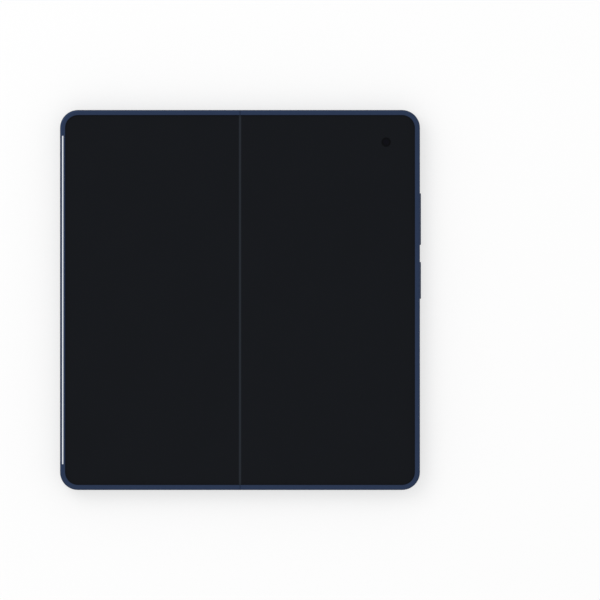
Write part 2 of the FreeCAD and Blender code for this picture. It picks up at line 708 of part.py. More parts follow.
def inner_camera_window():
    """Round clear disc in the screen's camera hole."""
    return rod_z(
        INNER_CAMERA_U, INNER_CAMERA_Y, INNER_CAMERA_RADIUS - FIT_GAP / 2, Z_DISPLAY_BOTTOM, Z_SCREEN
    )


def spine_body(radius, y0, y1, top):
    """Solid spine section: a quarter round about each fold axis, flat between them and flat on top."""
    y0, y1 = sorted((y0, y1))
    rounds = [rod_y(side * AXIS_U, AXIS_Z, radius, y0, y1) for side in (LEFT, RIGHT)]
    floor = Part.makeBox(2 * AXIS_U, y1 - y0, radius, Vector(-AXIS_U, y0, AXIS_Z - radius))
    keep = Part.makeBox(2 * HALF_WIDTH, y1 - y0, top, Vector(-HALF_WIDTH, y0, 0))
    return fused(rounds + [floor]).common(keep)


def spine_envelope():
    """Outer form of the spine, with rounded ends, because it shows when the phone is folded."""
    body = spine_body(COVER_RADIUS, -SPINE_HALF, SPINE_HALF, Z_SPINE_TOP)
    ends = []
    for edge in body.Edges:
        box = edge.BoundBox
        if box.YLength < FIT_GAP and box.ZMin < Z_SPINE_TOP - FIT_GAP:
            ends.append(edge)
    return body.makeFillet(SPINE_END_RADIUS, ends)


def arm_opening(side, end):
    """Way out through the spine's wall for a synchronising arm."""
    y0, y1 = bay(end, GEAR_BAY_INDEX)
    return block(side, ARM_GEAR_U, HINGE_BLOCK_U, y0, y1, Z_ARM_BOTTOM - SLOT_GAP, Z_RIM)


def tongue_opening(side, end):
    """Way out through the spine's wall for a crescent's tongue."""
    y0, y1 = bay(end, crescent_bay(side))
    return block(side, AXIS_U + CRESCENT_INNER, HINGE_BLOCK_U, y0, y1, Z_TONGUE - CRESCENT_GAP, Z_RIM)


def spine_openings():
    """Every way out through the spine's wall."""
    openings = []
    for side in (LEFT, RIGHT):
        for end in ENDS:
            openings += [arm_opening(side, end), tongue_opening(side, end)]
    return openings


def hinge_cover():
    """Long curved shell that closes the gap between the halves when they fold."""
    hollow = spine_body(COVER_BORE, -SPINE_HALF - OVERRUN, SPINE_HALF + OVERRUN, Z_SPINE_TOP + OVERRUN)
    shell = spine_envelope().cut([hollow] + spine_openings())
    drops = [
        block(side, 0, HINGE_BLOCK_U, end * CREASE_PLATE_HALF, end * HALF_HEIGHT, Z_SPINE_END, Z_RIM)
        for side in (LEFT, RIGHT)
        for end in ENDS
    ]
    return shell.cut(drops)


def end_caps():
    """Plug at each end of the hinge cover, rounded with it and lower than the rails that swing over it."""
    caps = []
    for end in ENDS:
        inner_y, outer_y = end * (SPINE_HALF - END_CAP_LENGTH), end * SPINE_HALF
        plug = spine_body(COVER_BORE - FIT_GAP, inner_y, outer_y, Z_SPINE_END)
        caps.append(plug.common(spine_envelope()))
    return caps


def shaft_span(end):
    """The Y span of the gear shafts: through the gear and friction bays and into the walls beside them."""
    grip = MODULE_WALL - BAY_GAP
    ys = bay(end, GEAR_BAY_INDEX) + bay(end, FRICTION_BAY_INDEX)
    return min(ys) - grip, max(ys) + grip


def hinge_bases():
    """Block of each hinge module: curved grooves for the crescents, and bays for gears and springs."""
    bases = []
    for end in ENDS:
        base = spine_body(
            COVER_BORE - FIT_GAP, end * MODULE_OUTER_Y, end * (MODULE_OUTER_Y - MODULE_LENGTH), Z_SPINE_TOP
        )
        cuts = []
        for side in (LEFT, RIGHT):
            y0, y1 = bay(end, crescent_bay(side))
            start = mirrored_angle(side, CRESCENT_START_ANGLE - GROOVE_MARGIN)
            stop = mirrored_angle(side, CRESCENT_END_ANGLE + GROOVE_MARGIN)
            inner, outer = CRESCENT_INNER - CRESCENT_GAP, CRESCENT_OUTER + CRESCENT_GAP
            cuts.append(arc_band(side * AXIS_U, AXIS_Z, inner, outer, start, stop, y0, y1))
            cuts += [tongue_opening(side, end), arm_opening(side, end)]
        for index, radius in (
            (GEAR_BAY_INDEX, GEAR_TIP_RADIUS + SLOT_GAP),
            (FRICTION_BAY_INDEX, WASHER_RADIUS + SLOT_GAP),
        ):
            y0, y1 = bay(end, index)
            for x in GEAR_PLACES:
                cuts.append(rod_y(x, GEAR_Z, radius, y0, y1))
                cuts.append(
                    Part.makeBox(2 * radius, y1 - y0, Z_RIM - GEAR_Z, Vector(x - radius, y0, GEAR_Z))
                )
        y0, y1 = shaft_span(end)
        cuts += [rod_y(x, GEAR_Z, SHAFT_RADIUS, y0, y1) for x in GEAR_PLACES]
        for x, y in crease_screw_places(end):
            cuts.append(rod_z(x, y, SCREW_RADIUS, Z_SPINE_TOP - SCREW_LENGTH, Z_RIM))
        bases.append(base.cut(cuts))
    return bases


def crease_screw_places(end):
    """Screws through the crease plate into the outermost and innermost wall of a hinge module."""
    first = MODULE_OUTER_Y - MODULE_WALL / 2
    return [(0, end * first), (0, end * (first - MODULE_LENGTH + MODULE_WALL))]


def crease_plate():
    """Narrow plate on the hinge modules that carries the bending part of the screen."""
    plate = Part.makeBox(
        2 * CREASE_PLATE_U,
        2 * CREASE_PLATE_HALF,
        CREASE_PLATE,
        Vector(-CREASE_PLATE_U, -CREASE_PLATE_HALF, Z_SPINE_TOP),
    )
    cuts = []
    for end in ENDS:
        for x, y in crease_screw_places(end):
            cuts.append(rod_z(x, y, SCREW_RADIUS + FIT_GAP, Z_MID_BOTTOM, Z_RIM))
            cuts.append(
                rod_z(x, y, SCREW_HEAD_RADIUS + FIT_GAP, Z_SPINE_TOP + CREASE_PLATE - SCREW_HEAD, Z_RIM)
            )
    return plate.cut(cuts)


def crease_screws():
    """Screws that hold the crease plate on the hinge modules."""
    seat = Z_SPINE_TOP + CREASE_PLATE - SCREW_HEAD
    return [screw(x, y, seat, SCREW_LENGTH) for end in ENDS for x, y in crease_screw_places(end)]


def gear_shafts():
    """Fixed shafts of the gears and spring washers."""
    return [rod_y(x, GEAR_Z, SHAFT_RADIUS, *shaft_span(end)) for end in ENDS for x in GEAR_PLACES]


def spring_washers():
    """Stack of dished washers on every shaft, whose friction holds the phone at any angle."""
    washers = []
    for end in ENDS:
        low, high = bay(end, FRICTION_BAY_INDEX)
        pitch = (high - low) / WASHER_COUNT
        for x in GEAR_PLACES:
            for i in range(WASHER_COUNT):
                y = low + pitch * i
                flip = i % 2 == 0
                washers.append(dished_washer(x, y, pitch, flip))
    return washers


def dished_washer(x, y, pitch, flip):
    """Conical washer as tall as its share of the stack, turned alternately one way and the other."""
    rise = pitch - WASHER_THICK
    low_inner, low_outer = (0, rise) if flip else (rise, 0)
    points = [
        Vector(x + SHAFT_RADIUS, y + low_inner, GEAR_Z),
        Vector(x + WASHER_RADIUS, y + low_outer, GEAR_Z),
        Vector(x + WASHER_RADIUS, y + low_outer + WASHER_THICK, GEAR_Z),
        Vector(x + SHAFT_RADIUS, y + low_inner + WASHER_THICK, GEAR_Z),
    ]
    return Part.Face(Part.makePolygon(points + points[:1])).revolve(Vector(x, y, GEAR_Z), ALONG_Y, 360)


def gear(x, phase, y0, y1):
    """Small spur gear with straight-sided teeth, bored to run on its shaft."""
    pitch = 360 / GEAR_TEETH
    root = GEAR_PITCH_RADIUS - GEAR_DEDENDUM
    points = []
    for tooth in range(GEAR_TEETH):
        middle = phase + pitch * tooth
        for radius, offset_share in (
            (root, -TOOTH_SHARE / 2),
            (GEAR_TIP_RADIUS, -TIP_SHARE / 2),
            (GEAR_TIP_RADIUS, TIP_SHARE / 2),
            (root, TOOTH_SHARE / 2),
        ):
            points.append(ring_point(x, GEAR_Z, radius, middle + pitch * offset_share, y0))
    body = Part.Face(Part.makePolygon(points + points[:1])).extrude(ALONG_Y * (y1 - y0))
    return body.cut(rod_y(x, GEAR_Z, SHAFT_RADIUS + SHAFT_GAP, y0 - OVERRUN, y1 + OVERRUN))


def gear_span(end):
    """The Y span of a gear, a little shorter than its bay."""
    y0, y1 = bay(end, GEAR_BAY_INDEX)
    return y0 + BAY_GAP, y1 - BAY_GAP


def idler_gears(side):
    """Middle gear of each module on this side, half a tooth round from its neighbour."""
    phase = HALF_TOOTH if side == LEFT else 0
    return [gear(side * IDLER_U, phase, *gear_span(end)) for end in ENDS]


def sync_arms(side):
    """Arm with a gear at the spine and a cross pin at its far end, one in each hinge module."""
    arms = []
    for end in ENDS:
        y0, y1 = gear_span(end)
        wheel = gear(side * ARM_GEAR_U, 0 if side == LEFT else HALF_TOOTH, y0, y1)
        low, high = Z_ARM_BOTTOM, Z_ARM_BOTTOM + ARM_THICK
        bar = block(side, ARM_GEAR_U + ARM_START, ARM_REACH, y0, y1, low, high)
        tip = rod_y(side * ARM_REACH, GEAR_Z, ARM_THICK / 2, y0, y1)
        pin = rod_y(side * ARM_REACH, GEAR_Z, ARM_PIN_RADIUS, y0 - ARM_PIN_OVERHANG, y1 + ARM_PIN_OVERHANG)
        arms.append(fused([wheel, bar, tip, pin]))
    return arms


def key_hole(y, length):
    """Hole through the right rail for a side key."""
    x0 = HALF_WIDTH - CAVITY_INSET - OVERRUN
    return stadium_through(
        x0, HALF_WIDTH + OVERRUN, y, KEY_Z, length + 2 * KEY_GAP, KEY_WIDTH + 2 * KEY_GAP
    )


def side_key(y, length, flange_gap):
    """Key through the right rail, kept in by a wider flange behind the wall."""
    flange_x = HALF_WIDTH - CAVITY_INSET - flange_gap
    button = stadium_through(flange_x - KEY_FLANGE / 2, HALF_WIDTH + KEY_PROUD, y, KEY_Z, length, KEY_WIDTH)
    face = [edge for edge in button.Edges if edge.BoundBox.XMin > HALF_WIDTH + KEY_PROUD - FIT_GAP]
    button = button.makeFillet(KEY_EDGE, face)
    spread = 2 * KEY_FLANGE_SPREAD
    flange = stadium_through(flange_x - KEY_FLANGE, flange_x, y, KEY_Z, length + spread, KEY_WIDTH + spread)
    return button.fuse(flange).removeSplitter()


def key_switches():
    """Dome switches behind the two keys, on a narrow board that hangs from the mid plate."""
    low = POWER_KEY_Y - POWER_KEY_LENGTH / 2
    high = VOLUME_KEY_Y + VOLUME_KEY_LENGTH / 2
    x1 = SWITCH_X - SWITCH_DEPTH
    board = block(RIGHT, x1 - SWITCH_BOARD, x1, low, high, KEY_Z - KEY_WIDTH / 2, Z_MID_BOTTOM)
    rocker_reach = VOLUME_KEY_LENGTH / 2 - KEY_WIDTH
    places = (POWER_KEY_Y, VOLUME_KEY_Y - rocker_reach, VOLUME_KEY_Y + rocker_reach)
    domes = []
    for y in places:
        reach = SWITCH_DEPTH if y != POWER_KEY_Y else SWITCH_DEPTH + ROCKER_GAP - FIT_GAP
        domes.append(rod_x(x1, x1 + reach, y, KEY_Z, KEY_WIDTH / 2))
    return fused([board] + domes)


def usb_hole():
    """Hole through the bottom rail for the charging port."""
    y0, y1 = -EDGE_WALL_Y + OVERRUN, -HALF_HEIGHT - OVERRUN
    return port_through(USB_U, y0, y1, USB_Z, USB_WIDTH + 2 * FIT_GAP, USB_HEIGHT + 2 * FIT_GAP)


def usb_shell():
    """Steel shell of the charging port, closed at the back."""
    outer = port_through(USB_U, USB_MOUTH_Y, USB_MOUTH_Y + USB_DEPTH, USB_Z, USB_WIDTH, USB_HEIGHT)
    y0, y1 = USB_MOUTH_Y - OVERRUN, USB_MOUTH_Y + USB_DEPTH - USB_WALL
    hollow = port_through(USB_U, y0, y1, USB_Z, USB_WIDTH - 2 * USB_WALL, USB_HEIGHT - 2 * USB_WALL)
    return outer.cut(hollow)


def usb_tongue():
    """Contact tongue in the middle of the port, standing on the shell's back wall."""
    half = USB_TONGUE_WIDTH / 2
    y0, y1 = USB_MOUTH_Y + USB_TONGUE_INSET, USB_MOUTH_Y + USB_DEPTH - USB_WALL
    low = USB_Z - USB_TONGUE_THICK / 2
    return block(RIGHT, USB_U - half, USB_U + half, y0, y1, low, low + USB_TONGUE_THICK)


def tray_slot():
    """Slot through the bottom rail for the card tray, stepped for its lip."""
    lip = port_through(
        -TRAY_U,
        -HALF_HEIGHT - OVERRUN,
        -HALF_HEIGHT + TRAY_LIP,
        TRAY_Z,
        TRAY_WIDTH + 2 * (TRAY_LIP_SPREAD + TRAY_GAP),
        TRAY_LIP_HEIGHT + 2 * TRAY_GAP,
    )
    half = TRAY_WIDTH / 2 + TRAY_GAP
    rise = TRAY_THICK / 2 + TRAY_GAP
    y0, y1 = -HALF_HEIGHT, -EDGE_WALL_Y + OVERRUN
    return lip.fuse(block(LEFT, TRAY_U - half, TRAY_U + half, y0, y1, TRAY_Z - rise, TRAY_Z + rise))


def sim_tray():
    """Card tray with its lip flush in the rail, a card pocket, and a hole for the ejecting pin."""
    y0 = -HALF_HEIGHT + TRAY_LIP - TRAY_GAP
    half, rise = TRAY_WIDTH / 2, TRAY_THICK / 2
    lip = port_through(
        -TRAY_U, -HALF_HEIGHT, y0, TRAY_Z, TRAY_WIDTH + 2 * TRAY_LIP_SPREAD, TRAY_LIP_HEIGHT
    )
    plate = block(
        LEFT, TRAY_U - half, TRAY_U + half, y0 - FIT_GAP, y0 + TRAY_DEPTH, TRAY_Z - rise, TRAY_Z + rise
    )
    card_y = y0 + TRAY_DEPTH - CARD_LENGTH - TRAY_END_WALL
    pocket = block(
        LEFT,
        TRAY_U - CARD_WIDTH / 2,
        TRAY_U + CARD_WIDTH / 2,
        card_y,
        card_y + CARD_LENGTH,
        TRAY_Z + rise - CARD_DEPTH,
        Z_RIM,
    )
    pin_x = -TRAY_U - half + 2 * TRAY_PIN_RADIUS
    pin = rod_y(pin_x, TRAY_Z, TRAY_PIN_RADIUS, -HALF_HEIGHT - OVERRUN, y0 + OVERRUN)
    return lip.fuse(plate).removeSplitter().cut([pocket, pin])


def tray_cage():
    """Sheet metal tunnel that guides the tray, fixed under the mid plate."""
    half, rise = TRAY_WIDTH / 2 + TRAY_GAP, TRAY_THICK / 2 + TRAY_GAP
    y0 = -EDGE_WALL_Y + FIT_GAP
    y1 = -HALF_HEIGHT + TRAY_LIP + TRAY_DEPTH
    low = TRAY_Z - rise - CAGE_WALL
    outer = block(
        LEFT, TRAY_U - half - CAGE_WALL, TRAY_U + half + CAGE_WALL, y0, y1 + CAGE_WALL, low, Z_MID_BOTTOM
    )
    return outer.cut(
        block(LEFT, TRAY_U - half, TRAY_U + half, y0 - OVERRUN, y1, TRAY_Z - rise, TRAY_Z + rise)
    )


def back_plate(side):
    """Glass back of one half, let into the frame."""
    inset = RIM_WIDTH + FIT_GAP
    radius = CORNER_RADIUS - inset
    return half_plate(
        side, inset, HALF_WIDTH - inset, HALF_HEIGHT - inset, Z_BACK, Z_GLASS_TOP, radius, radius
    )


def cover_panel():
    """Outer display, bonded behind the left half's glass, with a hole for its camera."""
    inset = CAVITY_INSET + PART_GAP
    z1 = Z_GLASS_TOP + COVER_PANEL
    radius = CAVITY_RADIUS - PART_GAP
    panel = half_plate(
        LEFT, HINGE_BLOCK_U + PART_GAP, HALF_WIDTH - inset,
        HALF_HEIGHT - inset, Z_GLASS_TOP, z1, radius, BATTERY_RADIUS
    )
    return panel.cut(rod_z(-COVER_CAMERA_U, COVER_CAMERA_Y, COVER_CAMERA_RADIUS, Z_BACK, Z_RIM))


def cover_camera():
    """Camera behind the left half's glass, its barrel in the outer display's hole."""
    half = COVER_CAMERA_SIDE / 2
    low = Z_GLASS_TOP + COVER_PANEL
    body = block(
        LEFT, COVER_CAMERA_U - half, COVER_CAMERA_U + half, COVER_CAMERA_Y - half, COVER_CAMERA_Y + half,
        low, Z_MID_BOTTOM,
    )
    barrel = rod_z(-COVER_CAMERA_U, COVER_CAMERA_Y, COVER_CAMERA_RADIUS - FIT_GAP, Z_GLASS_TOP, low)
    bore = rod_z(
        -COVER_CAMERA_U, COVER_CAMERA_Y, INNER_CAMERA_LENS, Z_BACK, Z_GLASS_TOP + INNER_CAMERA_BORE
    )
    return body.fuse(barrel).cut(bore)


def battery(side, low):
    """Flat pouch cell with rounded long edges, under the mid plate."""
    u0 = HINGE_BLOCK_U + PART_GAP
    u1 = HALF_WIDTH - CAVITY_INSET - BATTERY_SIDE_GAP
    cell = block(side, u0, u1, BATTERY_BOTTOM_Y, BATTERY_TOP_Y, low, Z_MID_BOTTOM)
    sides = [edge for edge in cell.Edges if edge.BoundBox.YLength > u1 - u0]
    return cell.makeFillet(BATTERY_RADIUS, sides)


def board(side, y0, y1, u0, u1):
    """Circuit board fixed under the mid plate."""
    return block(side, u0, u1, y0, y1, Z_MID_BOTTOM - BOARD_THICK, Z_MID_BOTTOM)


def speaker(side):
    """Sealed speaker box behind a row of sound holes, with its mouth on the wall."""
    middle, end = speaker_place(side)
    y0 = end * EDGE_WALL_Y
    y1 = y0 - end * SPEAKER_DEPTH
    half = SPEAKER_LENGTH / 2
    box = block(side, middle - half, middle + half, y0, y1, GRILLE_Z - SPEAKER_RISE, Z_MID_BOTTOM)
    mouth = block(
        side, middle - half + PART_GAP, middle + half - PART_GAP, y0, y0 - end * SPEAKER_MOUTH,
        GRILLE_Z - GRILLE_RADIUS, GRILLE_Z + GRILLE_RADIUS,
    )
    return box.cut(mouth)


def closing_magnets(side):
    """Bar magnets along the free edge that hold the phone shut."""
    u1 = HALF_WIDTH - CAVITY_INSET
    return [
        block(side, u1 - MAGNET_WIDTH, u1, y, y + MAGNET_LENGTH, Z_MID_BOTTOM - MAGNET_THICK, Z_MID_BOTTOM)
        for y in MAGNET_YS
    ]


def vibration_motor():
    """Flat round motor in the corner beside the hinge."""
    u = HINGE_BLOCK_U + MOTOR_RADIUS + 2 * PART_GAP
    y = -EDGE_WALL_Y + MOTOR_RADIUS + 2 * PART_GAP
    return rod_z(u, y, MOTOR_RADIUS, Z_MID_BOTTOM - MOTOR_THICK, Z_MID_BOTTOM)


def island_plate(inset, z0, z1):
    """Rounded outline of the camera island, drawn in by an inset."""
    return rounded_plate(
        ISLAND_MIDDLE_U - ISLAND_HALF + inset,
        ISLAND_MIDDLE_U + ISLAND_HALF - inset,
        ISLAND_TOP_Y - ISLAND_HEIGHT + inset,
        ISLAND_TOP_Y - inset,
        z0,
        z1,
        ISLAND_RADIUS - inset,
        ISLAND_RADIUS - inset,
    )


def spigot(gap, z0, z1):
    """Round neck of the island through the back glass, one at each lens."""
    return [rod_z(u, LENS_Y, BARREL_RADIUS + SPIGOT_WALL + gap, z0, z1) for u in LENS_US]


def back_panel():
    """Right half's glass back, with a hole for each neck of the camera island."""
    return back_plate(RIGHT).cut(spigot(FIT_GAP, Z_BACK - OVERRUN, Z_GLASS_TOP + OVERRUN))


def camera_island():
    """Raised plate across the back that carries the two cameras' windows."""
    plate = island_plate(0, 0, Z_BACK)
    rim = [edge for edge in plate.Edges if edge.BoundBox.ZMax < FIT_GAP]
    plate = plate.makeFillet(ISLAND_EDGE, rim).fuse(spigot(0, Z_BACK, Z_GLASS_TOP)).removeSplitter()
    cuts = []
    for u in LENS_US:
        cuts.append(rod_z(u, LENS_Y, LENS_RADIUS + FIT_GAP, -OVERRUN, RING_DEPTH))
        cuts.append(rod_z(u, LENS_Y, BARREL_RADIUS + FIT_GAP, -OVERRUN, Z_RIM))
    return plate.cut(cuts)


def lens_rings():
    """Metal ring around each window, let into the island."""
    rings = []
    for u in LENS_US:
        ring = rod_z(u, LENS_Y, LENS_RADIUS, WINDOW_RECESS / 2, RING_DEPTH)
        hole = rod_z(u, LENS_Y, LENS_RADIUS - LENS_RING, -OVERRUN, RING_DEPTH - RING_STEP)
        rings.append(ring.cut([hole, rod_z(u, LENS_Y, BARREL_RADIUS + FIT_GAP, -OVERRUN, Z_RIM)]))
    return rings


def lens_windows():
    """Clear disc in each lens ring."""
    z1 = RING_DEPTH - RING_STEP
    return [rod_z(u, LENS_Y, LENS_RADIUS - LENS_RING - FIT_GAP / 2, z1 - WINDOW_THICK, z1) for u in LENS_US]


def rear_cameras():
    """Square camera modules under the mid plate, each with a barrel down into the island."""
    cameras = []
    half = MODULE_SIDE / 2
    top = RING_DEPTH - RING_STEP + FIT_GAP
    for u in LENS_US:
        box = block(RIGHT, u - half, u + half, LENS_Y - half, LENS_Y + half, Z_GLASS_TOP, Z_MID_BOTTOM)
        barrel = rod_z(u, LENS_Y, BARREL_RADIUS, top, Z_GLASS_TOP)
        bore = rod_z(u, LENS_Y, BARREL_BORE, top - OVERRUN, Z_GLASS_TOP + LENS_DEPTH)
        cameras.append(box.fuse(barrel).removeSplitter().cut(bore))
    return cameras


def lens_elements():
    """Front lens of each camera, domed towards its window."""
    lenses = []
    radius = (BARREL_BORE**2 + LENS_DOME**2) / (2 * LENS_DOME)
    for u in LENS_US:
        base = Z_GLASS_TOP
        ball = Part.makeSphere(radius, Vector(u, LENS_Y, base - LENS_DOME + radius))
        cap = ball.common(rod_z(u, LENS_Y, BARREL_BORE, base - LENS_DOME, base))
        lenses.append(cap.fuse(rod_z(u, LENS_Y, BARREL_BORE, base, base + LENS_DEPTH)).removeSplitter())
    return lenses


def shield_cans():
    """Pressed cans over the chips on the underside of the main board, in two sizes."""
    z1 = Z_MID_BOTTOM - BOARD_THICK
    split = BOARD_INNER_U + (BOARD_OUTER_U - BOARD_INNER_U) * CAN_SPLIT_SHARE
    spans = (
        (BOARD_INNER_U + CAN_INSET, split - CAN_INSET / 2),
        (split + CAN_INSET / 2, BOARD_OUTER_U - CAN_INSET),
    )
    return [
        block(RIGHT, u0, u1, BOARD_LOW_Y + CAN_INSET, MAIN_BOARD_TOP_Y - CAN_INSET, z1 - CAN_HEIGHT, z1)
        for u0, u1 in spans
    ]


def fold_strip():
    """Bending middle of the screen, drawn flat."""
    reach = STRIP_U - FIT_GAP / 2
    half = HALF_HEIGHT - RAIL_WALL - FIT_GAP
    return Part.makeBox(2 * reach, 2 * half, DISPLAY, Vector(-reach, -half, Z_DISPLAY_BOTTOM))


nodes = {
    "left_frame": frame(LEFT),
    "left_bezel": bezel(LEFT),
    "left_display_panel": screen_layer(LEFT, STRIP_U, Z_DISPLAY_BOTTOM, Z_SCREEN),
    "left_display_plate": screen_layer(LEFT, STRIP_U + FIT_GAP, Z_PLATE_BOTTOM, Z_DISPLAY_BOTTOM),
    "antenna_strip": antenna_strip(),
    "cover_glass": back_plate(LEFT),
    "cover_panel": cover_panel(),
    "cover_camera": cover_camera(),
    "left_battery": battery(LEFT, LEFT_BATTERY_LOW),
    "left_board": board(
        LEFT, BOARD_LOW_Y, COVER_CAMERA_Y - COVER_CAMERA_SIDE, BOARD_INNER_U, BOARD_OUTER_U
    ),
    "left_speaker": speaker(LEFT),
    "tray_cage": tray_cage(),
    "sim_tray": sim_tray(),
    "left_hinge_rails": hinge_tongues(LEFT),
    "left_arm_brackets": arm_brackets(LEFT),
    "left_hinge_screws": frame_screws(LEFT),
    "left_magnets": closing_magnets(LEFT),
    "hinge_cover": hinge_cover(),
    "hinge_bases": hinge_bases(),
    "hinge_end_caps": end_caps(),
    "gear_shafts": gear_shafts(),
    "spring_washers": spring_washers(),
    "crease_plate": crease_plate(),
    "crease_screws": crease_screws(),
    "display_fold_strip": fold_strip(),
    "left_sync_arms": sync_arms(LEFT),
    "left_idler_gears": idler_gears(LEFT),
    "right_idler_gears": idler_gears(RIGHT),
    "right_sync_arms": sync_arms(RIGHT),
    "right_frame": frame(RIGHT),
    "right_bezel": bezel(RIGHT),
    "right_display_panel": screen_layer(RIGHT, STRIP_U, Z_DISPLAY_BOTTOM, Z_SCREEN),
    "right_display_plate": screen_layer(RIGHT, STRIP_U + FIT_GAP, Z_PLATE_BOTTOM, Z_DISPLAY_BOTTOM),
    "inner_camera": inner_camera(),
    "inner_camera_window": inner_camera_window(),
    "back_panel": back_panel(),
    "camera_island": camera_island(),
    "lens_rings": lens_rings(),
    "lens_windows": lens_windows(),
    "rear_cameras": rear_cameras(),
    "lens_elements": lens_elements(),
    "right_battery": battery(RIGHT, RIGHT_BATTERY_LOW),
    "main_board": board(RIGHT, BOARD_LOW_Y, MAIN_BOARD_TOP_Y, BOARD_INNER_U, BOARD_OUTER_U),
    "shield_cans": shield_cans(),
    "port_board": board(RIGHT, PORT_BOARD_LOW_Y, PORT_BOARD_TOP_Y, BOARD_INNER_U, BOARD_OUTER_U),
    "usb_shell": usb_shell(),
    "usb_tongue": usb_tongue(),
    "right_speaker": speaker(RIGHT),
    "vibration_motor": vibration_motor(),
    "power_key": side_key(POWER_KEY_Y, POWER_KEY_LENGTH, FIT_GAP),
    "volume_key": side_key(VOLUME_KEY_Y, VOLUME_KEY_LENGTH, ROCKER_GAP),
    "key_switches": key_switches(),
    "right_hinge_rails": hinge_tongues(RIGHT),
    "right_arm_brackets": arm_brackets(RIGHT),
    "right_hinge_screws": frame_screws(RIGHT),
    "right_magnets": closing_magnets(RIGHT),
}

os.makedirs("parts", exist_ok=True)
for name, shape in nodes.items():
    solids = shape if isinstance(shape, list) else [shape]
    Part.makeCompound(solids).exportStep(f"parts/{name}.step")
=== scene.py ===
"""Foldable phone lying open on its back, seen straight down on the screen."""

import math

import bpy
import numpy as np
from mathutils import Color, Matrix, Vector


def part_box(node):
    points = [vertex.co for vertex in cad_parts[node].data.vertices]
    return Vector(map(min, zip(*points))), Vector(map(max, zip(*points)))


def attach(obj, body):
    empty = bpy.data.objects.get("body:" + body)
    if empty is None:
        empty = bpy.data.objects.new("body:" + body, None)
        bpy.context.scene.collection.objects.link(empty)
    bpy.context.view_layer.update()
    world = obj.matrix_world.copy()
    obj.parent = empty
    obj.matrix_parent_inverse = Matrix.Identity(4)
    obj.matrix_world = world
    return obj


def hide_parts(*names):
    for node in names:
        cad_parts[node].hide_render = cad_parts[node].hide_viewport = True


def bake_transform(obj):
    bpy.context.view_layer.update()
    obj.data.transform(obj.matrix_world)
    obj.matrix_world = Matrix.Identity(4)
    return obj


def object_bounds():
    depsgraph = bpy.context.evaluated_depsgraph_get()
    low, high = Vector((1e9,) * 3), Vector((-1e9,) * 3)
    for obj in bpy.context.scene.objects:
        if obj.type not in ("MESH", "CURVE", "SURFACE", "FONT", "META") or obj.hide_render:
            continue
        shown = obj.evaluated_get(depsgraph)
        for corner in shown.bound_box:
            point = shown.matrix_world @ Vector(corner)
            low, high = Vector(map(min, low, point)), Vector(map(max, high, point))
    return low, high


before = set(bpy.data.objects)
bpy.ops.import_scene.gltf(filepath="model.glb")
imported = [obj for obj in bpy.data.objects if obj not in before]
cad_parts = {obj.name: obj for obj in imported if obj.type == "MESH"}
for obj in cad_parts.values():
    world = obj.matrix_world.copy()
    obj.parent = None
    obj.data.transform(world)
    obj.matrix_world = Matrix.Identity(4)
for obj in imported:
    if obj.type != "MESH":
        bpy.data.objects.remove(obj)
cad_low, cad_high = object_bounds()


# The rails are milled from aluminium bar, bead blasted and dyed navy. The side keys, the card tray
# and the cover of the hinge come out of the same dye bath, so they share its colour.
NAVY = (42, 54, 78)
CLOUDS_PER_GRAIN = 1 / 12
GRAIN_STRENGTH = 0.3
FULL_LEVEL = 255
MIX_FIRST = 6
MIX_SECOND = 7
MIX_RESULT = 2


def linear(rgb):
    """Screen colour, 0 to 255, as the linear light that a shader takes, with an alpha of 1."""
    return (*Color(np.array(rgb) / FULL_LEVEL).from_srgb_to_scene_linear(), 1.0)


class Socket:
    """A shader socket that can be used in sums, so that masks read as arithmetic."""

    def __init__(self, sheet, socket):
        self.sheet = sheet
        self.socket = socket

    def __add__(self, other):
        return self.sheet.combine("ADD", self, other)

    def __radd__(self, other):
        return self.sheet.combine("ADD", other, self)

    def __sub__(self, other):
        return self.sheet.combine("SUBTRACT", self, other)

    def __rsub__(self, other):
        return self.sheet.combine("SUBTRACT", other, self)

    def __mul__(self, other):
        return self.sheet.combine("MULTIPLY", self, other)

    def __rmul__(self, other):
        return self.sheet.combine("MULTIPLY", other, self)

    def __truediv__(self, other):
        return self.sheet.combine("DIVIDE", self, other)

    def __rtruediv__(self, other):
        return self.sheet.combine("DIVIDE", other, self)

    def __abs__(self):
        return self.sheet.combine("ABSOLUTE", self, 0.0)


class Sheet:
    """A node tree that takes one call for each node."""

    def __init__(self, tree):
        self.tree = tree

    def node(self, kind, settings, inputs, output=0):
        """Adds one node, sets it up, then gives its sockets their values or links."""
        made = self.tree.nodes.new(kind)
        for name, value in settings.items():
            setattr(made, name, value)
        for key, value in inputs.items():
            self.feed(made.inputs[key], value)
        return Socket(self, made.outputs[output])

    def feed(self, socket, value):
        """Links a socket to another, or sets it to a plain value."""
        if isinstance(value, Socket):
            self.tree.links.new(value.socket, socket)
        else:
            socket.default_value = value

    def combine(self, operation, first, second):
        """One step of arithmetic on two sockets or numbers."""
        return self.node("ShaderNodeMath", {"operation": operation}, {0: first, 1: second})

    def limited(self, value):
        """A sum held between 0 and 1, to serve as a mask."""
        return self.node("ShaderNodeClamp", {}, {"Value": value})


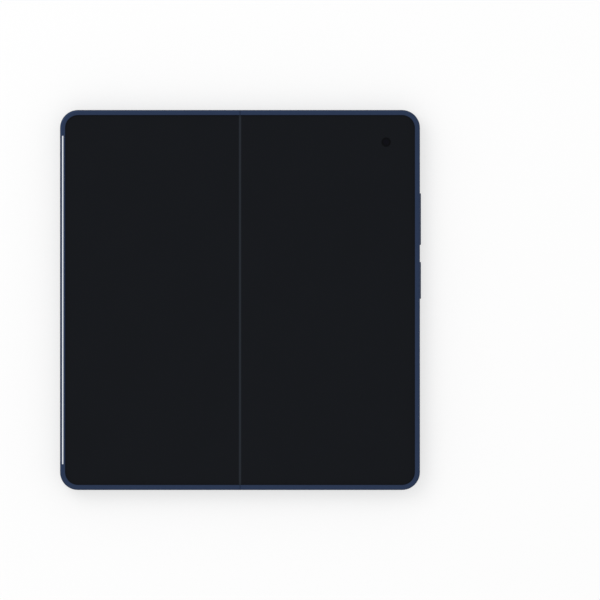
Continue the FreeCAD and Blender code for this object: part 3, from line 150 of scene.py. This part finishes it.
class Finish(Sheet):
    """One material: a surface shader and the nodes that feed it."""

    def __init__(self, name, **constants):
        self.material = bpy.data.materials.new(name)
        self.material.use_nodes = True
        super().__init__(self.material.node_tree)
        self.surface = self.tree.nodes["Principled BSDF"]
        for socket, value in constants.items():
            self.surface.inputs[socket.replace("_", " ")].default_value = value

    def place(self):
        """The point's place in the phone's own frame, in metres."""
        return self.node("ShaderNodeTexCoord", {}, {}, "Object")

    def axis(self, letter):
        """One coordinate of that place."""
        return self.node("ShaderNodeSeparateXYZ", {}, {"Vector": self.place()}, letter)

    def noise(self, scale, detail=2.0, place=None):
        """Soft random share from 0 to 1, with about this many patches to the metre."""
        inputs = {"Vector": place or self.place(), "Scale": scale, "Detail": detail}
        return self.node("ShaderNodeTexNoise", {}, inputs)

    def within(self, distance, reach, fade):
        """Mask that is 1 where a distance is under its reach, with a soft edge as wide as the fade."""
        return self.limited((reach - distance) / fade + 0.5)

    def blend(self, share, first, second):
        """Mix of two colours by a share from 0 to 1; a mix node's colour sockets go by number."""
        inputs = {"Factor": share, MIX_FIRST: first, MIX_SECOND: second}
        return self.node("ShaderNodeMix", {"data_type": "RGBA"}, inputs, MIX_RESULT)

    def drift(self, share, rgb, spread):
        """A colour that a share from 0 to 1 carries from a little darker to a little lighter."""
        darker, lighter = (linear(np.array(rgb) * level) for level in (1 - spread, 1 + spread))
        return self.blend(share, darker, lighter)

    def bump(self, height, distance, strength):
        """Tilt of the surface by a height from 0 to 1 that stands for this distance."""
        inputs = {"Height": height, "Distance": distance, "Strength": strength}
        return self.node("ShaderNodeBump", {}, inputs, "Normal")

    def set(self, **links):
        """Feeds the shader what changes over the surface, and gives the finished material."""
        for socket, value in links.items():
            self.feed(self.surface.inputs[socket.replace("_", " ")], value)
        return self.material


def between(share, ends):
    """A value that a share from 0 to 1 carries from the first end to the second."""
    first, second = ends
    return first + share * (second - first)


def mottled(name, rgb, *, spread, grain, rough, relief, **constants):
    """Finish whose colour and gloss drift a little, with a fine grain that catches the light."""
    finish = Finish(name, **constants)
    cloud = finish.noise(grain * CLOUDS_PER_GRAIN)
    speck = finish.noise(grain)
    return finish.set(
        Base_Color=finish.drift(cloud, rgb, spread),
        Roughness=between(speck, rough),
        Normal=finish.bump(speck, relief, GRAIN_STRENGTH),
    )


def dress(material, *nodes):
    """Gives CAD nodes one finish in place of their plain one."""
    for node in nodes:
        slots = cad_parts[node].data.materials
        slots.clear()
        slots.append(material)


rail_metal = mottled(
    "navy_anodised", NAVY, spread=0.03, grain=9000, rough=(0.38, 0.46), relief=4e-6, Metallic=1.0
)
dress(rail_metal, "left_frame", "right_frame", "hinge_cover", "hinge_end_caps")
key_metal = mottled(
    "navy_keys", NAVY, spread=0.04, grain=9000, rough=(0.30, 0.38), relief=4e-6, Metallic=1.0
)
dress(key_metal, "power_key", "volume_key", "sim_tray")


# The pale inlay is radio-clear resin. It is moulded into a groove in the front of the left rail, and
# both are machined flush in one pass.
INLAY = (222, 226, 232)
inlay_resin = mottled(
    "inlay_resin", INLAY, spread=0.015, grain=6000, rough=(0.45, 0.55), relief=3e-6,
    Specular_IOR_Level=0.25,
)
dress(inlay_resin, "antenna_strip")


# The hinge between the halves is steel. Its crescents, arms, brackets and plates are blackened, because
# they show when the phone folds. The gears are sintered, the washers are springs, and screws hold all.
STEEL = (178, 180, 184)
BLACKENED = (46, 54, 72)
SINTER = (150, 150, 154)
SPRING = (140, 142, 148)
STREAK_SCALE = (9000, 300, 9000)
STREAK_DETAIL = 3.0
STREAK_SPREAD = 0.06


def brushed(name, rgb, *, rough):
    """Bare steel: streaks are noise stretched along y, which is the way it was ground."""
    finish = Finish(name, Metallic=1.0)
    stretched = finish.node("ShaderNodeMapping", {}, {"Vector": finish.place(), "Scale": STREAK_SCALE})
    streak = finish.noise(1.0, STREAK_DETAIL, stretched)
    return finish.set(
        Base_Color=finish.drift(streak, rgb, STREAK_SPREAD), Roughness=between(streak, rough)
    )


blackened_steel = brushed("blackened_steel", BLACKENED, rough=(0.39, 0.51))
dress(blackened_steel, "left_hinge_rails", "right_hinge_rails", "left_sync_arms", "right_sync_arms")
dress(blackened_steel, "left_arm_brackets", "right_arm_brackets", "hinge_bases", "crease_plate")
stamped_steel = brushed("stamped_steel", STEEL, rough=(0.26, 0.38))
dress(stamped_steel, "left_hinge_screws", "right_hinge_screws", "crease_screws")
sintered_steel = brushed("sintered_steel", SINTER, rough=(0.36, 0.48))
dress(sintered_steel, "gear_shafts", "left_idler_gears", "right_idler_gears")
dress(brushed("washer_steel", SPRING, rough=(0.22, 0.34)), "spring_washers")


# Inside each half lie a film-wrapped cell, green boards under pressed cans, and black moulded camera
# and speaker modules. The closing magnets are nickel plated, and the tray runs in a steel cage.
CELL_FILM = (52, 54, 58)
BOARD_MASK = (24, 74, 56)
MODULE_RESIN = (30, 30, 32)
NICKEL = (200, 198, 192)
cell_film = mottled("cell_film", CELL_FILM, spread=0.05, grain=900, rough=(0.50, 0.60), relief=6e-6)
dress(cell_film, "left_battery", "right_battery")
board_mask = mottled("board_mask", BOARD_MASK, spread=0.06, grain=1500, rough=(0.35, 0.45), relief=4e-6)
dress(board_mask, "left_board", "main_board", "port_board")
module_resin = mottled(
    "module_resin", MODULE_RESIN, spread=0.05, grain=4000, rough=(0.45, 0.55), relief=4e-6
)
dress(module_resin, "cover_camera", "inner_camera", "rear_cameras")
dress(module_resin, "left_speaker", "right_speaker", "key_switches")
dress(stamped_steel, "tray_cage", "shield_cans", "vibration_motor")
dress(brushed("nickel_plate", NICKEL, rough=(0.12, 0.24)), "left_magnets", "right_magnets")


# The charging port is a drawn steel shell. A black tongue stands in its middle with a row of gilded
# contacts on each face, set back a little from the tip.
GOLD = (208, 170, 96)
CONTACT_PITCH = 0.5e-3
CONTACT_WIDTH = 0.3e-3
CONTACT_SET_BACK = 0.6e-3
CONTACT_FADE = 0.02e-3
TONGUE_ROUGHNESS = (0.5, 0.25)


def contact_tongue(name, node):
    """Black resin with gilded bars: stripes across x, cut off a little way back from the tip at low y."""
    finish = Finish(name)
    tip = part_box(node)[0].y
    off_middle = finish.combine("PINGPONG", finish.axis("X"), CONTACT_PITCH / 2)
    bar = finish.within(off_middle, CONTACT_WIDTH / 2, CONTACT_FADE)
    behind_tip = finish.limited((finish.axis("Y") - (tip + CONTACT_SET_BACK)) / CONTACT_FADE)
    contact = bar * behind_tip
    return finish.set(
        Base_Color=finish.blend(contact, linear(MODULE_RESIN), linear(GOLD)),
        Metallic=contact,
        Roughness=between(contact, TONGUE_ROUGHNESS),
    )


dress(stamped_steel, "usb_shell")
dress(contact_tongue("contact_tongue", "usb_tongue"), "usb_tongue")


# The screen is a thin stack of plastic and ultra-thin glass with a coating against reflections. Its
# two flat panels are bonded to steel plates, and it is switched off, so only its near-black shows.
SCREEN = (20, 22, 26)
# The crease colour is a painted sheen: paler than the screen, it stands for light caught by the dip along
# the crease.
CREASE_PAINTED_SHEEN = (37, 41, 47)
CREASE_WIDTH = 0.90e-3
CREASE_FADE = 0.06e-3
SCREEN_CLOUDS = 60.0
SCREEN_SPREAD = 0.03
SCREEN_ROUGHNESS = (0.22, 0.26)
COATED = 0.03


def screen_finish(name):
    """Near-black gloss; the crease is a paler band painted along x = 0, where the glass is thinned: a
    painted sheen.
    """
    finish = Finish(name, Specular_IOR_Level=COATED)
    cloud = finish.noise(SCREEN_CLOUDS)
    # Painted sheen: a paler band along x = 0 stands for light caught where the glass dips at the crease.
    painted_sheen_band = finish.within(abs(finish.axis("X")), CREASE_WIDTH / 2, CREASE_FADE)
    ground = finish.drift(cloud, SCREEN, SCREEN_SPREAD)
    return finish.set(
        Base_Color=finish.blend(painted_sheen_band, ground, linear(CREASE_PAINTED_SHEEN)),
        Roughness=between(cloud, SCREEN_ROUGHNESS),
    )


dress(stamped_steel, "left_display_plate", "right_display_plate")
screen_gloss = screen_finish("screen_off")
dress(screen_gloss, "left_display_panel", "right_display_panel")


# The middle strip of the same screen bends when the phone closes, so it is thinned there from both faces.
# Each side of it rolls from its own half onto the spine. It is made as two sheets, one on each side of x =
# 0, and they run right up to the flat panels, because the real screen has no seam.
STRIP_STEPS = 28
STRIP_ROWS = 3
CREASE_DIP = 0.08e-3
SHARP_EDGE = math.radians(40)
strip_low, strip_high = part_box("display_fold_strip")
strip_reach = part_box("right_display_panel")[0].x


def piece_from_rings(name, points):
    """Mesh from a grid of points: each row is a closed ring, rings are joined, and both ends are capped."""
    rows, columns = points.shape[:2]
    index = np.arange(rows * columns).reshape(rows, columns)
    turned = np.roll(index, -1, axis=1)
    quads = np.stack([index[:-1], turned[:-1], turned[1:], index[1:]], axis=-1).reshape(-1, 4)
    faces = [*quads.tolist(), index[0][::-1].tolist(), index[-1].tolist()]
    mesh = bpy.data.meshes.new(name)
    mesh.from_pydata(points.reshape(-1, 3).tolist(), [], faces)
    mesh.shade_smooth()
    mesh.set_sharp_from_angle(angle=SHARP_EDGE)
    made = bpy.data.objects.new(name, mesh)
    bpy.context.scene.collection.objects.link(made)
    return made


def strip_sheet(name, x_start, x_end):
    """Slab swept along x: a ring is its section in y and z, and both faces dip by a squared cosine of x."""
    across = np.linspace(x_start, x_end, STRIP_STEPS + 1)
    along = np.linspace(strip_low.y, strip_high.y, STRIP_ROWS)
    dip = CREASE_DIP * np.cos(np.pi / 2 * across / strip_reach) ** 2
    grid = np.empty((len(across), 2 * STRIP_ROWS, 3))
    grid[..., 0] = across[:, None]
    grid[..., 1] = np.concatenate([along, along[::-1]])
    grid[:, :STRIP_ROWS, 2] = (strip_low.z + dip)[:, None]
    grid[:, STRIP_ROWS:, 2] = (strip_high.z - dip)[:, None]
    return piece_from_rings(name, grid)


left_strip = strip_sheet("left_screen_bend", -strip_reach, 0.0)
right_strip = strip_sheet("right_screen_bend", 0.0, strip_reach)
for strip in (left_strip, right_strip):
    strip.data.materials.append(screen_gloss)
    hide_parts("display_fold_strip")
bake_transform(left_strip)
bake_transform(right_strip)


# The bezel is a moulded strip, bonded over the edge of the screen inside each rail. Its resin is dyed
# to match the rail, so the two read as one rim.
bezel_resin = mottled(
    "bezel_resin", NAVY, spread=0.03, grain=7000, rough=(0.46, 0.54), relief=3e-6,
    Specular_IOR_Level=0.03,
)
dress(bezel_resin, "left_bezel", "right_bezel")


# The inner camera looks out through a round window in the screen. The window is clear glass, printed
# black on its underside around the lens and coated like the screen.
LENS_BLACK = (9, 10, 13)
LENS_TINT = (11, 11, 18)
PRINT_FADE = 0.05e-3
INNER_LENS_RADIUS = 1.1e-3
WINDOW_CLOUDS = 300.0
WINDOW_ROUGHNESS = (0.08, 0.12)


def middle_of(node):
    """Centre of a node's box."""
    low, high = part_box(node)
    return (low + high) / 2


def off_axis(finish, x, y):
    """Distance from an upright line, for marks that run round a lens."""
    inputs = {"Vector": finish.place(), "Location": (-x, -y, 0.0), "Scale": (1.0, 1.0, 0.0)}
    flat = finish.node("ShaderNodeMapping", {}, inputs)
    return finish.node("ShaderNodeVectorMath", {"operation": "LENGTH"}, {0: flat}, "Value")


def printed_window(name, node):
    """Coated glass with a faint violet pupil inside a black printed ring."""
    finish = Finish(name, Specular_IOR_Level=COATED)
    middle = middle_of(node)
    pupil = finish.within(off_axis(finish, middle.x, middle.y), INNER_LENS_RADIUS, PRINT_FADE)
    cloud = finish.noise(WINDOW_CLOUDS)
    return finish.set(
        Base_Color=finish.blend(pupil, linear(LENS_BLACK), linear(LENS_TINT)),
        Roughness=between(cloud, WINDOW_ROUGHNESS),
    )


dress(printed_window("inner_camera_glass", "inner_camera_window"), "inner_camera_window")


# The back of the right half is etched glass with a slate backing, let into the rail and bonded to the
# ledge inside it.
SLATE = (76, 89, 115)
slate_glass = mottled(
    "etched_slate", SLATE, spread=0.02, grain=5000, rough=(0.37, 0.43), relief=2e-6,
    Specular_IOR_Level=0.1,
)
dress(slate_glass, "back_panel")


# The back of the left half is clear glass over the outer screen. Its edge is printed black, and the
# print leaves a window for the screen and a ringed eye for the camera behind it.
COVER_BLACK = (16, 17, 21)
COVER_EYE = (6, 6, 10)
EYE_RING = (30, 32, 37)
EYE_RADIUS = 1.1e-3
EYE_RING_RADIUS = 1.9e-3
COVER_ROUGHNESS = (0.07, 0.10)
cover_screen_low, cover_screen_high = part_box("cover_panel")
cover_eye = middle_of("cover_camera")


def cover_finish(name):
    """Black glass: the screen's own grey inside its outline, and the camera's eye in a paler ring."""
    finish = Finish(name, Specular_IOR_Level=COATED)
    cloud = finish.noise(SCREEN_CLOUDS)
    shown = 1.0
    for letter, low, high in zip("XY", cover_screen_low, cover_screen_high):
        off_middle = abs(finish.axis(letter) - (low + high) / 2)
        shown = finish.within(off_middle, (high - low) / 2, PRINT_FADE) * shown
    off_eye = off_axis(finish, cover_eye.x, cover_eye.y)
    ring = finish.within(off_eye, EYE_RING_RADIUS, PRINT_FADE)
    eye = finish.within(off_eye, EYE_RADIUS, PRINT_FADE)
    glass = finish.blend(shown, linear(COVER_BLACK), finish.drift(cloud, SCREEN, SCREEN_SPREAD))
    ringed = finish.blend(ring, glass, linear(EYE_RING))
    return finish.set(
        Base_Color=finish.blend(eye, ringed, linear(COVER_EYE)),
        Roughness=between(cloud, COVER_ROUGHNESS),
    )


dress(cover_finish("cover_glass_black"), "cover_glass")
dress(screen_gloss, "cover_panel")


# The camera island is a machined plate, painted dark grey and bonded over the back glass, with a neck
# through the glass at each camera.
ISLAND = (36, 40, 46)
island_paint = mottled(
    "island_paint", ISLAND, spread=0.03, grain=8000, rough=(0.40, 0.50), relief=4e-6,
    Specular_IOR_Level=0.06,
)
dress(island_paint, "camera_island")


# Each rear camera looks out through a clear disc in a turned black ring. The disc is printed black
# round its edge, and behind its clear middle a small domed lens sits in a stepped black barrel.
RING_BLACK = (17, 18, 21)
BARREL_BLACK = (12, 12, 14)
LENS_COATING = (26, 20, 46)
BARREL_ROUGHNESS = (0.6, 0.1)
DISC_SPREAD = 0.06
CLEAR_RADIUS = 2.5e-3
DOME_SHARE = 0.5
DOME_TOP_SHARE = 0.04
DOME_DROP_SHARE = 0.25
BARREL_STEPS = 4
STEP_SHARE = 0.05
LENS_SIDES = 64
DOME_ROWS = 12
COATING_FADE = 0.05e-3
lens_low, lens_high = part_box("lens_elements")
lens_radius = (lens_high.y - lens_low.y) / 2
lens_depth = lens_high.z - lens_low.z
lens_y = (lens_low.y + lens_high.y) / 2
lens_xs = (lens_low.x + lens_radius, lens_high.x - lens_radius)
dome_radius = lens_radius * DOME_SHARE


def lens_profile():
    """Radius and height from the dome's top outwards: a parabola, then square steps, then the side wall."""
    dome_r = np.linspace(dome_radius * DOME_TOP_SHARE, dome_radius, DOME_ROWS)[:-1]
    dome_z = lens_depth * (1 - DOME_DROP_SHARE * (dome_r / dome_radius) ** 2)
    edges = np.linspace(dome_radius, lens_radius, BARREL_STEPS + 1)
    treads = lens_depth * (1 - DOME_DROP_SHARE + STEP_SHARE * np.arange(BARREL_STEPS))
    step_r = np.stack([edges[:-1], edges[1:]], axis=1).ravel()
    radius = np.concatenate([dome_r, step_r, [lens_radius]])
    height = np.concatenate([dome_z, np.repeat(treads, 2), [0.0]])
    return radius, height


def turned_lens(name, x):
    """The profile turned about an upright line at x, with its dome towards the window below."""
    radius, height = lens_profile()
    turn = np.linspace(0, 2 * np.pi, LENS_SIDES, endpoint=False)
    grid = np.empty((len(radius), LENS_SIDES, 3))
    grid[..., 0] = x + radius[:, None] * np.cos(turn)
    grid[..., 1] = lens_y + radius[:, None] * np.sin(turn)
    grid[..., 2] = (lens_high.z - height)[:, None]
    return piece_from_rings(name, grid)


def off_lens(finish):
    """Distance from the nearer of the two lenses' middles."""
    inner, outer = (off_axis(finish, x, lens_y) for x in lens_xs)
    return finish.combine("MINIMUM", inner, outer)


def clear_disc(name):
    """Near-black print with a clear middle, seen through by its alpha."""
    finish = Finish(name, Specular_IOR_Level=COATED, Roughness=0.06)
    clear = finish.within(off_lens(finish), CLEAR_RADIUS, PRINT_FADE)
    cloud = finish.noise(WINDOW_CLOUDS)
    return finish.set(Base_Color=finish.drift(cloud, LENS_BLACK, DISC_SPREAD), Alpha=1 - clear)


def barrel_finish(name):
    """Matt black barrel round a dome of violet-coated glass."""
    finish = Finish(name, Specular_IOR_Level=0.3)
    glass = finish.within(off_lens(finish), dome_radius, COATING_FADE)
    colour = finish.blend(glass, linear(BARREL_BLACK), linear(LENS_COATING))
    return finish.set(Base_Color=colour, Roughness=between(glass, BARREL_ROUGHNESS))


barrel_black = barrel_finish("lens_barrel_black")
for side, x in zip(("inner", "outer"), lens_xs):
    front_lens = turned_lens(f"{side}_front_lens", x)
    front_lens.data.materials.append(barrel_black)
    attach(front_lens, "right_half")
    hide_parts("lens_elements")
dress(clear_disc("camera_window_glass"), "lens_windows")
ring_black = mottled(
    "lens_ring_black", RING_BLACK, spread=0.04, grain=7000, rough=(0.30, 0.40), relief=3e-6,
    Metallic=1.0,
)
dress(ring_black, "lens_rings")


# The studio is a white paper floor under an even white sky, with one broad lamp that gives the floor a
# share of its light. The floor keeps the phone's shadow, and glows a little for the camera alone.
FLOOR_HALF = 3.0
FLOOR_WHITE = (253, 253, 253)
FLOOR_GLOW = 0.6
WHITE = (1.0, 1.0, 1.0, 1.0)
SKY_SHARE = 0.82
LAMP_SHARE = 0.20
LAMP_PLACE = (-0.9, 0.9, 1.6)
LAMP_SIDE = 1.4

floor_mesh = bpy.data.meshes.new("floor")
corner_signs = np.array([(-1, -1, 0), (1, -1, 0), (1, 1, 0), (-1, 1, 0)])
floor_mesh.from_pydata((corner_signs * FLOOR_HALF).tolist(), [], [(0, 1, 2, 3)])
floor = bpy.data.objects.new("floor", floor_mesh)
bpy.context.scene.collection.objects.link(floor)
paper = Finish("floor_paper", Base_Color=linear(FLOOR_WHITE), Roughness=0.9, Specular_IOR_Level=0.0)
eye_ray = paper.node("ShaderNodeLightPath", {}, {}, "Is Camera Ray")
glow = paper.node("ShaderNodeEmission", {}, {"Color": WHITE, "Strength": 1.0})
lit = Socket(paper, paper.surface.outputs["BSDF"])
mixed = paper.node("ShaderNodeMixShader", {}, {0: eye_ray * FLOOR_GLOW, 1: lit, 2: glow})
paper.feed(paper.tree.nodes["Material Output"].inputs["Surface"], mixed)
floor_mesh.materials.append(paper.material)

world = bpy.data.worlds.new("sky")
bpy.context.scene.world = world
world.use_nodes = True
sky = Sheet(world.node_tree)
rays = ("Is Camera Ray", "Is Glossy Ray", "Is Transmission Ray")
seen = sum(sky.node("ShaderNodeLightPath", {}, {}, ray) for ray in rays)
background = sky.tree.nodes["Background"]
sky.feed(background.inputs["Color"], WHITE)
sky.feed(background.inputs["Strength"], between(sky.limited(seen), (SKY_SHARE, 1.0)))

lamp = bpy.data.lights.new("soft_box", "AREA")
lamp.size = LAMP_SIDE
lamp_far = math.dist(LAMP_PLACE, (0, 0, 0))
lamp_slope = LAMP_PLACE[2] / lamp_far
# With this power, a white floor below the lamp sends back its share of full white.
lamp.energy = LAMP_SHARE * math.pi**2 * lamp_far**2 / lamp_slope
soft_box = bpy.data.objects.new("soft_box", lamp)
soft_box.location = LAMP_PLACE
lamp_tilt = math.atan2(math.hypot(*LAMP_PLACE[:2]), LAMP_PLACE[2])
lamp_turn = math.atan2(LAMP_PLACE[0], -LAMP_PLACE[1])
soft_box.rotation_euler = (lamp_tilt, 0.0, lamp_turn)
bpy.context.scene.collection.objects.link(soft_box)


# The camera looks straight down on the screen with no perspective, as the drawing does, and has the
# phone at the drawing's size and place.
IMAGE_PIXELS = 600
PHONE_PIXELS = 380
PHONE_MIDDLE_PIXEL = 240
CAMERA_HEIGHT = 1.0
pixel = (cad_high[1] - cad_low[1]) / PHONE_PIXELS
optics = bpy.data.cameras.new("camera")
optics.type = "ORTHO"
optics.ortho_scale = IMAGE_PIXELS * pixel
camera = bpy.data.objects.new("camera", optics)
camera.location = ((IMAGE_PIXELS / 2 - PHONE_MIDDLE_PIXEL) * pixel, 0.0, CAMERA_HEIGHT)
bpy.context.scene.collection.objects.link(camera)
bpy.context.scene.camera = camera
bpy.context.scene.view_settings.view_transform = "Standard"
